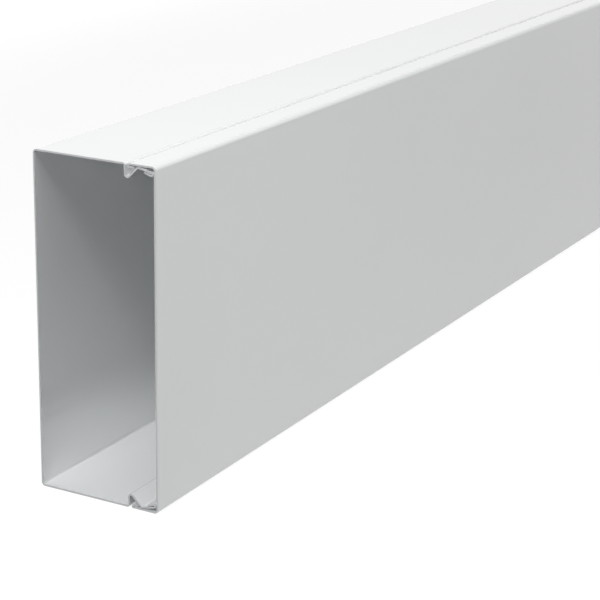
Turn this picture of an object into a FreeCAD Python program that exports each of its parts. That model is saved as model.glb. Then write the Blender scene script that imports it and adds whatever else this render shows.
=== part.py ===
import FreeCAD, Part
import Sketcher
import math
import os

# Steel cable trunking: a folded base channel and a cover that clips into its two edge grooves.
# X runs across the trunking from the back wall to the cover, Y along it and Z up.
# The origin is the middle of the underside, and both sections are mirrored about mid-height.

doc = FreeCAD.newDocument("CableTrunking")

# Driving dimensions in millimetres and degrees
DIMENSIONS = (
    ("length", 2000.0),
    ("depth", 60.0),
    ("height", 150.0),
    ("base_sheet", 0.75),
    ("cover_sheet", 0.75),
    # inside radii of the bends
    ("corner_bend", 1.0),
    ("shoulder_bend", 0.5),
    ("groove_bend", 0.8),
    ("crest_bend", 0.4),
    ("rim_hem_bend", 0.25),
    ("cover_bend", 1.0),
    ("lip_hem_bend", 0.15),
    # edge of the base: groove, ramp, crest, sloping rim and the hem under the rim
    ("groove_setback", 14.25),
    ("groove_depth", 6.25),
    ("ramp_angle", 45.0),
    ("rim_angle", 12.0),
    ("rim_hem_angle", 186.0),
    ("rim_hem_return", 3.2),
    # fit of the cover in the base
    ("clip_clearance", 0.2),
    ("hook_clearance", 0.5),
    ("lip_gap", 1.0),
    # fixing slots in the back wall
    ("slot_width", 7.0),
    ("slot_length", 20.0),
    ("slot_rows", 75.0),
    ("slot_first", 250.0),
    ("slot_count", 4.0),
)

# Share by which the volume of the cut slots may differ from the slots' own size
SLOT_TOLERANCE = 0.01

# Headings of the straight runs, from +X towards +Z, and turns of the square and flat folds
FORWARD = "0"
UP = "90"
BACKWARD = "180"
DOWN = "-90"
SQUARE = "90"
FLAT = "180"

# Points of a sketched line or arc, and the sketch's horizontal axis, which starts at the origin
START = 1
END = 2
CENTRE = 3
AXIS = -1

sheet = doc.addObject("Spreadsheet::Sheet", "Dimensions")
for row, (alias, value) in enumerate(DIMENSIONS, start=1):
    sheet.set(f"A{row}", alias)
    sheet.set(f"B{row}", str(value))
    sheet.setAlias(f"B{row}", alias)
doc.recompute()


def cell(alias):
    return f"Dimensions.{alias}"


def size(expression):
    """Value of an expression on the dimension sheet, in millimetres or degrees."""
    value = sheet.evalExpression(expression)
    return float(getattr(value, "Value", value))


LENGTH = cell("length")
DEPTH = cell("depth")
HALF_HEIGHT = f"{cell('height')} / 2"
SHEET = cell("base_sheet")
COVER = cell("cover_sheet")
RAMP = cell("ramp_angle")
RIM = cell("rim_angle")

# Outside radii of the bends
CORNER_OUT = f"({cell('corner_bend')} + {SHEET})"
SHOULDER_OUT = f"({cell('shoulder_bend')} + {SHEET})"
GROOVE_OUT = f"({cell('groove_bend')} + {SHEET})"
CREST_OUT = f"({cell('crest_bend')} + {SHEET})"
RIM_HEM_OUT = f"({cell('rim_hem_bend')} + {SHEET})"
COVER_OUT = f"({cell('cover_bend')} + {COVER})"
LIP_HEM_OUT = f"({cell('lip_hem_bend')} + {COVER})"

# Bend centres of the base's edge: "back" from the cover's face, "in" from the flange's outside
GROOVE_BACK = f"({cell('groove_setback')} - {cell('groove_bend')})"
GROOVE_IN = f"({cell('groove_depth')} - {GROOVE_OUT})"
CREST_IN = f"({COVER} + {cell('clip_clearance')} + {CREST_OUT})"
RAMP_STEP = f"({GROOVE_OUT} + {cell('crest_bend')})"
RAMP_RUN = f"(({GROOVE_IN} - {CREST_IN} + {RAMP_STEP} * cos({RAMP})) / sin({RAMP}))"
CREST_BACK = f"({GROOVE_BACK} - {RAMP_RUN} * cos({RAMP}) - {RAMP_STEP} * sin({RAMP}))"
RIM_HEM_BACK = f"({COVER} + {cell('clip_clearance')} + {RIM_HEM_OUT})"
RIM_STEP = f"({cell('rim_hem_bend')} - {cell('crest_bend')})"

# Hem of the cover's lip: its end lies off the groove's wall and its edge off the ramp
LIP_HEM_BACK = f"({cell('groove_setback')} - {cell('lip_gap')} - {LIP_HEM_OUT})"
HOOK_REACH = f"({GROOVE_IN} - 2 * {LIP_HEM_OUT}) / tan({RAMP})"
HOOK_OFFSET = f"({cell('hook_clearance')} - {cell('groove_bend')}) / sin({RAMP})"
HOOK_BACK = f"({GROOVE_BACK} - {HOOK_REACH} + {HOOK_OFFSET})"

# Straight runs and bends of half of each sheet, from mid-height to the free edge.
# A run is (length, heading) and a bend is (turn, inside radius), a positive turn being to the left.
BASE_RUNS = (
    (f"{HALF_HEIGHT} - {CORNER_OUT}", DOWN),
    (f"{DEPTH} - {cell('groove_setback')} - {SHOULDER_OUT} - {CORNER_OUT}", FORWARD),
    (f"{cell('groove_depth')} - {SHOULDER_OUT} - {GROOVE_OUT}", UP),
    (RAMP_RUN, f"-{RAMP}"),
    (f"({CREST_BACK} - {RIM_HEM_BACK} + {RIM_STEP} * sin({RIM})) / cos({RIM})", RIM),
    (cell("rim_hem_return"), f"{RIM} + {cell('rim_hem_angle')}"),
)
BASE_BENDS = (
    (SQUARE, cell("corner_bend")),
    (SQUARE, cell("shoulder_bend")),
    (f"-{SQUARE} - {RAMP}", cell("groove_bend")),
    (f"{RAMP} + {RIM}", cell("crest_bend")),
    (cell("rim_hem_angle"), cell("rim_hem_bend")),
)
COVER_RUNS = (
    (f"{HALF_HEIGHT} - {COVER_OUT}", DOWN),
    (f"{LIP_HEM_BACK} - {COVER_OUT}", BACKWARD),
    (f"{LIP_HEM_BACK} - {HOOK_BACK}", FORWARD),
)
COVER_BENDS = (
    (f"-{SQUARE}", cell("cover_bend")),
    (f"-{FLAT}", cell("lip_hem_bend")),
)


def origin_plane(body, role):
    for feature in body.Origin.OriginFeatures:
        if feature.Role == role:
            return feature
    raise RuntimeError(f"{body.Label} has no {role}")


def new_sketch(body, name, role):
    sketch = body.newObject("Sketcher::SketchObject", name)
    sketch.AttachmentSupport = [(origin_plane(body, role), "")]
    sketch.MapMode = "FlatFace"
    return sketch


def tie(sketch, *terms):
    sketch.addConstraint(Sketcher.Constraint(*terms))


def bind(sketch, expression, kind, *terms):
    """Adds a dimension and ties it to the expression that gives its value."""
    value = size(expression)
    if kind == "Angle":
        value = math.radians(value)
    index = sketch.addConstraint(Sketcher.Constraint(kind, *terms, value))
    sketch.setExpression(f"Constraints[{index}]", expression)


def sheet_sides(start, runs, bends, thickness):
    """Walks the centre line and returns each side's lines and arcs in path order."""
    half = size(thickness) / 2
    point = FreeCAD.Vector(*start, 0)
    sides = {1: [], -1: []}
    for number, (run, heading) in enumerate(runs):
        angle = math.radians(size(heading))
        along = FreeCAD.Vector(math.cos(angle), math.sin(angle), 0)
        left = FreeCAD.Vector(-along.y, along.x, 0)
        end = point + along * size(run)
        for side, path in sides.items():
            shift = left * (side * half)
            path.append(Part.LineSegment(point + shift, end + shift))
        if number == len(bends):
            break
        turn, radius = (size(value) for value in bends[number])
        hand = math.copysign(1, turn)
        reach = radius + half
        centre = end + left * (hand * reach)
        first = math.atan2(end.y - centre.y, end.x - centre.x)
        last = first + math.radians(turn)
        for side, path in sides.items():
            circle = Part.Circle(centre, FreeCAD.Vector(0, 0, 1), reach - hand * side * half)
            path.append(Part.ArcOfCircle(circle, min(first, last), max(first, last)))
        point = centre + FreeCAD.Vector(math.cos(last), math.sin(last), 0) * reach
    return sides[1], sides[-1]


def joined_side(sketch, path, bends):
    """Adds one side of the sheet, each line tangent to its arcs, and returns the lines and the arcs."""
    numbers = [sketch.addGeometry(shape, False) for shape in path]
    lines = numbers[::2]
    arcs = numbers[1::2]
    for before, arc, after, (turn, _) in zip(lines, arcs, lines[1:], bends):
        # an arc runs anticlockwise, so the sheet enters a right-hand bend at the arc's end
        entry, leave = (START, END) if size(turn) > 0 else (END, START)
        tie(sketch, "Tangent", before, END, arc, entry)
        tie(sketch, "Tangent", arc, leave, after, START)
    return lines, arcs


def edge_across(sketch, left, right, point):
    """Closes the section square across the sheet at one end of its sides."""
    ends = (sketch.getPoint(line, point) for line in (left, right))
    edge = sketch.addGeometry(Part.LineSegment(*ends), False)
    tie(sketch, "Coincident", edge, START, left, point)
    tie(sketch, "Coincident", edge, END, right, point)
    tie(sketch, "Perpendicular", edge, left)
    return edge


def folded_section(body, name, start_back, runs, bends, thickness):
    """Sketch of half of a folded sheet's section, fully tied to the dimension sheet."""
    sketch = new_sketch(body, name, "XZ_Plane")
    left_path, right_path = sheet_sides((size(start_back), 0), runs, bends, thickness)
    left_lines, left_arcs = joined_side(sketch, left_path, bends)
    right_lines, right_arcs = joined_side(sketch, right_path, bends)
    middle_edge = edge_across(sketch, left_lines[0], right_lines[0], START)
    edge_across(sketch, left_lines[-1], right_lines[-1], END)
    bind(sketch, thickness, "Distance", middle_edge)
    for left, right, (run, heading) in zip(left_lines, right_lines, runs):
        tie(sketch, "Parallel", left, right)
        bind(sketch, run, "Distance", left)
        bind(sketch, heading, "Angle", left)
    for left, right, (turn, radius) in zip(left_arcs, right_arcs, bends):
        inner, outer = (left, right) if size(turn) > 0 else (right, left)
        tie(sketch, "Coincident", inner, CENTRE, outer, CENTRE)
        bind(sketch, radius, "Radius", inner)
    # the left side starts on the mid-height axis
    bind(sketch, f"{start_back} + {thickness} / 2", "DistanceX", AXIS, START, left_lines[0], START)
    tie(sketch, "PointOnObject", left_lines[0], START, AXIS)
    return sketch


def padded_mirror(body, sketch):
    """Draws the half section out to the full length and mirrors it about mid-height."""
    pad = body.newObject("PartDesign::Pad", f"{sketch.Name}_run")
    pad.Profile = sketch
    pad.SideType = "Symmetric"
    pad.setExpression("Length", LENGTH)
    doc.recompute()
    mirror = body.newObject("PartDesign::Mirrored", f"{sketch.Name}_mirror")
    mirror.Originals = [pad]
    mirror.MirrorPlane = (origin_plane(body, "XY_Plane"), [""])
    body.Tip = mirror
    doc.recompute()
    return mirror


def new_body(label):
    body = doc.addObject("PartDesign::Body", label)
    body.Label = label
    body.setExpression("Placement.Base.z", HALF_HEIGHT)
    return body


def slot_outline(sketch, row_height):
    """One slot with its length along the trunking, centred in the first column of its row."""
    half_width = f"{cell('slot_width')} / 2"
    half_run = f"({cell('slot_length')} - {cell('slot_width')}) / 2"
    column = f"{LENGTH} / 2 - {cell('slot_first')}"
    radius = size(half_width)
    middle = FreeCAD.Vector(-size(column), size(row_height), 0)
    reach = FreeCAD.Vector(size(half_run), 0, 0)
    up = FreeCAD.Vector(0, radius, 0)
    axis = FreeCAD.Vector(0, 0, 1)
    quarter = math.pi / 2
    near_round = Part.Circle(middle - reach, axis, radius)
    far_round = Part.Circle(middle + reach, axis, radius)
    far = sketch.addGeometry(Part.ArcOfCircle(far_round, -quarter, quarter), False)
    top = sketch.addGeometry(Part.LineSegment(middle + reach + up, middle - reach + up), False)
    near = sketch.addGeometry(Part.ArcOfCircle(near_round, quarter, quarter + math.pi), False)
    low = sketch.addGeometry(Part.LineSegment(middle - reach - up, middle + reach - up), False)
    for before, after in ((far, top), (top, near), (near, low), (low, far)):
        tie(sketch, "Tangent", before, END, after, START)
    tie(sketch, "Horizontal", top)
    tie(sketch, "Equal", near, far)
    bind(sketch, half_width, "Radius", near)
    bind(sketch, f"2 * {half_run}", "Distance", top)
    bind(sketch, f"-({column}) - {half_run}", "DistanceX", AXIS, START, near, CENTRE)
    bind(sketch, row_height, "DistanceY", AXIS, START, near, CENTRE)


# Base: the folded channel, then two rows of fixing slots through its back wall
base = new_body("trunking_base")
base_section = folded_section(
    base, "base_section", f"-{DEPTH} / 2 + {SHEET} / 2", BASE_RUNS, BASE_BENDS, SHEET
)
base_channel = padded_mirror(base, base_section)
solid_volume = base_channel.Shape.Volume

slots = new_sketch(base, "fixing_slots", "YZ_Plane")
slot_outline(slots, f"-{cell('slot_rows')} / 2")
slot_outline(slots, f"{cell('slot_rows')} / 2")
slot_cut = base.newObject("PartDesign::Pocket", "fixing_slot_cut")
slot_cut.Profile = slots
slot_cut.Type = "ThroughAll"
doc.recompute()
slot_columns = base.newObject("PartDesign::LinearPattern", "fixing_slot_columns")
slot_columns.Originals = [slot_cut]
slot_columns.Direction = (slots, ["H_Axis"])
slot_columns.setExpression("Length", f"{LENGTH} - 2 * {cell('slot_first')}")
slot_columns.setExpression("Occurrences", cell("slot_count"))
base.Tip = slot_columns
doc.recompute()

# Cover: flat face, rounded corners and two lips hemmed back to hook behind the crests
cover = new_body("clip_in_cover")
cover_section = folded_section(
    cover, "cover_section", f"{DEPTH} / 2 - {COVER} / 2", COVER_RUNS, COVER_BENDS, COVER
)
padded_mirror(cover, cover_section)

# Both pieces are sound, and every slot passes through the back wall
for item in doc.Objects:
    if "Invalid" in item.State or "Error" in item.State:
        raise RuntimeError(f"{item.Label} failed: {item.State}")
for item in (base_section, cover_section, slots):
    if not item.FullyConstrained:
        raise RuntimeError(f"{item.Label} is not fully constrained")
slot_width = size(cell("slot_width"))
slot_straight = size(cell("slot_length")) - slot_width
slot_area = slot_straight * slot_width + math.pi * (slot_width / 2) ** 2
cut_volume = 2 * size(cell("slot_count")) * slot_area * size(SHEET)
if abs(solid_volume - base.Shape.Volume - cut_volume) > SLOT_TOLERANCE * cut_volume:
    raise RuntimeError("the fixing slots do not pass through the back wall")
for body in (base, cover):
    if body.Shape.isNull() or not body.Shape.isValid() or len(body.Shape.Solids) != 1:
        raise RuntimeError(f"{body.Label} is not one valid solid")

os.makedirs("parts", exist_ok=True)
for body in (base, cover):
    body.Shape.exportStep(f"parts/{body.Label}.step")
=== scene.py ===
import math

import bpy
from mathutils import Matrix, Vector


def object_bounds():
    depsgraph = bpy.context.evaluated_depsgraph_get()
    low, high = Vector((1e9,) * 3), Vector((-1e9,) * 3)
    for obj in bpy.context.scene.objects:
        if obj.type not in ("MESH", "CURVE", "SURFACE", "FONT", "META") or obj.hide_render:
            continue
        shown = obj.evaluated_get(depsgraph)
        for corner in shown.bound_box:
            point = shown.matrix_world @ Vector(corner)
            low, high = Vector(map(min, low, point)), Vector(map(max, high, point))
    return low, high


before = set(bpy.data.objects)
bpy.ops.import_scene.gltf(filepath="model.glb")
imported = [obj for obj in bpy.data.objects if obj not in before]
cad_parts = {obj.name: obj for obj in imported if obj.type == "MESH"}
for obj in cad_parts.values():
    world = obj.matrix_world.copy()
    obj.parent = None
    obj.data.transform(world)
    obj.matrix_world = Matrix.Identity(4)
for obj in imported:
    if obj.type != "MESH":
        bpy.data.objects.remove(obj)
cad_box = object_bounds()
scene = bpy.context.scene

# Camera, solved from the photograph's own perspective. The near end is the trunking's -Y end.
IMAGE_SIDE = 600
FOCAL_PIXELS = 1914.94
SENSOR = 36.0
CAMERA_PLACE = Vector((0.4365, -1.6194, 0.3331))
CAMERA_AZIMUTH = math.radians(28.766)
CAMERA_ELEVATION = math.radians(17.816)
CAMERA_ROLL = math.radians(0.936)
CAMERA_REACH = 50.0

# Floor, as it is seen. Its glow is painted fainter near the trunking, a painted darker pool of
# shade round it in which the cast shadow also shows; farther off it is white.
FLOOR_REACH = 12.0  # half its side
FLOOR_GLOW_WITH_PAINTED_SHADE = (0.85, 1.0)  # near the trunking, where the shadow shows, and farther off
GLOW_FROM = (0.5, 1.0)  # metres from the trunking's middle, where the glow starts and stops growing
GLOW_ALONG = 0.4  # what a metre along the trunking counts for in that distance
FLOOR_SHARE = 0.2  # of the lamplight, added to the glow

# Bounced light, for which the floor and the world are darker than they are seen.
BOUNCE_SHARE = 0.3  # the floor's colour
SKY_LEVEL = 0.0  # the world's strength
MIRRORED_TWICE = 2  # a ray that is mirrored this often counts as bounced
DIFFUSE_BOUNCES = 8  # how many between dull surfaces are followed

# Lamps.
FULL_SPREAD = 180  # in degrees, of a lamp that shines all ways
FAR_HALF = 0.65  # where the lamp beside the far half aims, as a share of the way to the far end

# Coating colour, with the share by which soft patches of it turn paler or darker.
COAT_COLOUR = (0.855, 0.868, 0.875)
COAT_STRAY = 0.012
PATCHES_PER_METRE = 7.0
PATCH_DETAIL = 3.0

# Gloss of the coating: roughness of its clearer and duller patches, and its clear skin.
GLOSS_ROUGHNESS = (0.04, 0.08)
GLOSS_PER_METRE = 45.0
GLOSS_DETAIL = 2.0
SKIN_ROUGHNESS = 0.01
SKIN_IOR = 2.2

# Sheared ends, the faces where the sheet was cut to length: their grey is painted shade, darker
# than the coat as these end faces fall darker under the lamps, and their coat is duller.
END_FACE_PAINTED_SHADE = (0.37, 0.38, 0.39)
SHEARED_ROUGHNESS = 0.3
SHEARED_DEPTH = 1e-4

# Orange peel of the sprayed and baked powder, in ripples per metre and metres of height.
PEEL_PER_METRE = 480.0
PEEL_DETAIL = 1.0
PEEL_HEIGHT = 1.2e-6

# Noise lies mostly between these values.
NOISE_LOW = 0.3
NOISE_HIGH = 0.7


def add_camera():
    back = Vector((
        math.sin(CAMERA_AZIMUTH) * math.cos(CAMERA_ELEVATION),
        -math.cos(CAMERA_AZIMUTH) * math.cos(CAMERA_ELEVATION),
        math.sin(CAMERA_ELEVATION),
    ))
    level = Vector((math.cos(CAMERA_AZIMUTH), math.sin(CAMERA_AZIMUTH), 0))
    upright = back.cross(level)
    right = level * math.cos(CAMERA_ROLL) + upright * math.sin(CAMERA_ROLL)
    up = back.cross(right)
    data = bpy.data.cameras.new("camera")
    data.sensor_width = SENSOR
    data.lens = SENSOR * FOCAL_PIXELS / IMAGE_SIDE
    data.clip_end = CAMERA_REACH
    camera = bpy.data.objects.new("camera", data)
    turn = Matrix((right, up, back)).transposed().to_4x4()
    camera.matrix_world = Matrix.Translation(CAMERA_PLACE) @ turn
    scene.collection.objects.link(camera)
    scene.camera = camera


def new_material(name):
    material = bpy.data.materials.new(name)
    material.use_nodes = True
    return material, material.node_tree


def node_of(tree, kind, **settings):
    node = tree.nodes.new(kind)
    for name, value in settings.items():
        if name in node.inputs:
            node.inputs[name].default_value = value
        else:
            setattr(node, name, value)
    return node


def noise_of(tree, place, per_metre, detail):
    noise = node_of(tree, "ShaderNodeTexNoise", Scale=per_metre, Detail=detail)
    tree.links.new(place, noise.inputs["Vector"])
    return noise.outputs["Fac"]


def sheared_ends(tree, place):
    # one on the faces where the sheet was sheared to length
    axes = node_of(tree, "ShaderNodeSeparateXYZ")
    tree.links.new(place, axes.inputs["Vector"])
    along = node_of(tree, "ShaderNodeMath", operation="ABSOLUTE")
    tree.links.new(axes.outputs["Y"], along.inputs[0])
    sheared = node_of(tree, "ShaderNodeMath", operation="GREATER_THAN")
    tree.links.new(along.outputs[0], sheared.inputs[0])
    sheared.inputs[1].default_value = cad_box[1].y - SHEARED_DEPTH
    return sheared.outputs[0]


def by_identifier(sockets, identifier):
    return next(socket for socket in sockets if socket.identifier == identifier)


def patchy_colour_and_end_shade(tree, place, sheared):
    ramp = node_of(tree, "ShaderNodeValToRGB")
    for stop, position, share in zip(
        ramp.color_ramp.elements, (NOISE_LOW, NOISE_HIGH), (1 - COAT_STRAY, 1 + COAT_STRAY)
    ):
        stop.position = position
        stop.color = (*(share * part for part in COAT_COLOUR), 1)
    noise = noise_of(tree, place, PATCHES_PER_METRE, PATCH_DETAIL)
    tree.links.new(noise, ramp.inputs["Fac"])
    # the sheared end faces take a darker grey here, which is painted shade on them
    mix = node_of(tree, "ShaderNodeMix", data_type="RGBA")
    tree.links.new(sheared, by_identifier(mix.inputs, "Factor_Float"))
    tree.links.new(ramp.outputs["Color"], by_identifier(mix.inputs, "A_Color"))
    by_identifier(mix.inputs, "B_Color").default_value = (*END_FACE_PAINTED_SHADE, 1)
    return by_identifier(mix.outputs, "Result_Color")


def mapped(tree, value, from_range, to_range):
    node = node_of(tree, "ShaderNodeMapRange", interpolation_type="SMOOTHSTEP")
    names = ("From Min", "From Max", "To Min", "To Max")
    for name, limit in zip(names, (*from_range, *to_range)):
        node.inputs[name].default_value = limit
    tree.links.new(value, node.inputs["Value"])
    return node.outputs["Result"]


def patchy_gloss(tree, place, sheared):
    noise = noise_of(tree, place, GLOSS_PER_METRE, GLOSS_DETAIL)
    gloss = mapped(tree, noise, (NOISE_LOW, NOISE_HIGH), GLOSS_ROUGHNESS)
    ends = node_of(tree, "ShaderNodeMath", operation="MULTIPLY")
    tree.links.new(sheared, ends.inputs[0])
    ends.inputs[1].default_value = SHEARED_ROUGHNESS
    rougher = node_of(tree, "ShaderNodeMath", operation="MAXIMUM")
    tree.links.new(gloss, rougher.inputs[0])
    tree.links.new(ends.outputs[0], rougher.inputs[1])
    return rougher.outputs[0]


def orange_peel(tree, place):
    bump = node_of(tree, "ShaderNodeBump", Strength=1.0, Distance=PEEL_HEIGHT)
    noise = noise_of(tree, place, PEEL_PER_METRE, PEEL_DETAIL)
    tree.links.new(noise, bump.inputs["Height"])
    return bump.outputs["Normal"]


def white_coat():
    material, tree = new_material("gloss_white_coat")
    shader = tree.nodes["Principled BSDF"]
    place = node_of(tree, "ShaderNodeTexCoord").outputs["Object"]
    sheared = sheared_ends(tree, place)
    peel = orange_peel(tree, place)
    for source, name in (
        (patchy_colour_and_end_shade(tree, place, sheared), "Base Color"),
        (patchy_gloss(tree, place, sheared), "Roughness"),
        (peel, "Normal"),
        (peel, "Coat Normal"),
    ):
        tree.links.new(source, shader.inputs[name])
    shader.inputs["Coat Weight"].default_value = 1.0
    shader.inputs["Coat Roughness"].default_value = SKIN_ROUGHNESS
    shader.inputs["Coat IOR"].default_value = SKIN_IOR
    return material


def seen_rays(tree):
    # one for camera, see-through and once mirrored rays, nought for bounced light
    path = node_of(tree, "ShaderNodeLightPath")
    once = node_of(tree, "ShaderNodeMath", operation="LESS_THAN")
    tree.links.new(path.outputs["Glossy Depth"], once.inputs[0])
    once.inputs[1].default_value = MIRRORED_TWICE
    mirrored = node_of(tree, "ShaderNodeMath", operation="MULTIPLY")
    tree.links.new(path.outputs["Is Glossy Ray"], mirrored.inputs[0])
    tree.links.new(once.outputs[0], mirrored.inputs[1])
    seen = path.outputs["Is Camera Ray"]
    for other in (mirrored.outputs[0], path.outputs["Is Transmission Ray"]):
        either = node_of(tree, "ShaderNodeMath", operation="MAXIMUM")
        tree.links.new(seen, either.inputs[0])
        tree.links.new(other, either.inputs[1])
        seen = either.outputs[0]
    return seen


def grey(share):
    return (share, share, share, 1)


def floor_glow_with_painted_shade(tree):
    # by the distance from the trunking's middle, which counts for less along the trunking; the
    # fainter glow near it is a painted darker pool of shade
    place = node_of(tree, "ShaderNodeTexCoord").outputs["Object"]
    squeezed = node_of(tree, "ShaderNodeVectorMath", operation="MULTIPLY")
    tree.links.new(place, squeezed.inputs[0])
    squeezed.inputs[1].default_value = (1, GLOW_ALONG, 1)
    away = node_of(tree, "ShaderNodeVectorMath", operation="LENGTH")
    tree.links.new(squeezed.outputs["Vector"], away.inputs[0])
    return mapped(tree, away.outputs["Value"], GLOW_FROM, FLOOR_GLOW_WITH_PAINTED_SHADE)


def floor_material():
    material, tree = new_material("floor")
    tree.nodes.remove(tree.nodes["Principled BSDF"])
    output = tree.nodes["Material Output"]
    glow = node_of(tree, "ShaderNodeEmission")
    tree.links.new(floor_glow_with_painted_shade(tree), glow.inputs["Strength"])
    shaded = node_of(tree, "ShaderNodeBsdfDiffuse", Color=grey(FLOOR_SHARE))
    seen = node_of(tree, "ShaderNodeAddShader")
    tree.links.new(glow.outputs[0], seen.inputs[0])
    tree.links.new(shaded.outputs[0], seen.inputs[1])
    bounce = node_of(tree, "ShaderNodeBsdfDiffuse", Color=grey(BOUNCE_SHARE))
    either = node_of(tree, "ShaderNodeMixShader")
    tree.links.new(seen_rays(tree), either.inputs["Fac"])
    tree.links.new(bounce.outputs[0], either.inputs[1])
    tree.links.new(seen.outputs[0], either.inputs[2])
    tree.links.new(either.outputs[0], output.inputs["Surface"])
    return material


def add_floor():
    mesh = bpy.data.meshes.new("floor")
    low, high = -FLOOR_REACH, FLOOR_REACH
    corners = [(low, low, 0), (high, low, 0), (high, high, 0), (low, high, 0)]
    mesh.from_pydata(corners, [], [(0, 1, 2, 3)])
    mesh.materials.append(floor_material())
    floor = bpy.data.objects.new("floor", mesh)
    scene.collection.objects.link(floor)


def add_world():
    world = bpy.data.worlds.new("world")
    world.use_nodes = True
    tree = world.node_tree
    sky = tree.nodes["Background"]
    sky.inputs["Color"].default_value = grey(1)
    sky.inputs["Strength"].default_value = SKY_LEVEL
    backdrop = node_of(tree, "ShaderNodeBackground", Color=grey(1), Strength=1.0)
    either = node_of(tree, "ShaderNodeMixShader")
    tree.links.new(seen_rays(tree), either.inputs["Fac"])
    tree.links.new(sky.outputs[0], either.inputs[1])
    tree.links.new(backdrop.outputs[0], either.inputs[2])
    tree.links.new(either.outputs[0], tree.nodes["World Output"].inputs["Surface"])
    scene.world = world


def add_lamp(
    name, target, toward, distance, size, level, mirrored=True, long=1, spread=FULL_SPREAD
):
    # level is the light that falls square on the target, where 1 renders a colour as written
    data = bpy.data.lights.new(name, "AREA")
    data.shape = "ELLIPSE"
    data.size = size * long
    data.size_y = size
    data.spread = math.radians(spread)
    # the narrower a lamp shines, the more of its energy falls on the target
    half = math.radians(spread) / 2
    data.energy = level * (math.pi * distance) ** 2 * (1 - half / math.tan(half))
    lamp = bpy.data.objects.new(name, data)
    direction = Vector(toward).normalized()
    lamp.location = Vector(target) + direction * distance
    lamp.rotation_mode = "QUATERNION"
    lamp.rotation_quaternion = direction.to_track_quat("Z", "Y")
    lamp.visible_camera = False
    lamp.visible_glossy = mirrored
    scene.collection.objects.link(lamp)


add_camera()
add_floor()
add_world()
mid_height = (cad_box[0].z + cad_box[1].z) / 2
near_end = (0, cad_box[0].y, mid_height)
middle = (0, 0, mid_height)
far_end = (0, cad_box[1].y, mid_height)
far_half = (0, FAR_HALF * cad_box[1].y, mid_height)
add_lamp("key", near_end, toward=(0.106, -0.582, 0.812), distance=1.6, size=0.46, level=0.665)
add_lamp("over", near_end, toward=(0.4, -0.24, 1), distance=1.1, size=0.5, level=0.215)
add_lamp("side", near_end, toward=(1, 0.12, 0.5), distance=0.8, size=0.2, level=0.167,
         mirrored=False)
add_lamp("front", near_end, toward=(0.1, -0.94, 0.3), distance=2.0, size=0.6, level=0.28)
add_lamp("back", middle, toward=(-1, 0.15, 0.2), distance=4.0, size=2.0, level=0.42,
         mirrored=False)
add_lamp("far", far_end, toward=(0.1, 1, 0.25), distance=4.0, size=2.0, level=0.4,
         mirrored=False)
add_lamp("far_side", far_half, toward=(1, 0, 0.8), distance=0.9, size=0.4, level=0.63,
         mirrored=False, long=3.2, spread=120)
add_lamp("far_over", far_end, toward=(0, 0.9, 1), distance=1.5, size=1.0, level=0.45,
         mirrored=False, spread=60)
coat = white_coat()
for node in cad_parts.values():
    node.data.materials.clear()
    node.data.materials.append(coat)

scene.cycles.diffuse_bounces = DIFFUSE_BOUNCES
scene.view_settings.view_transform = "Standard"
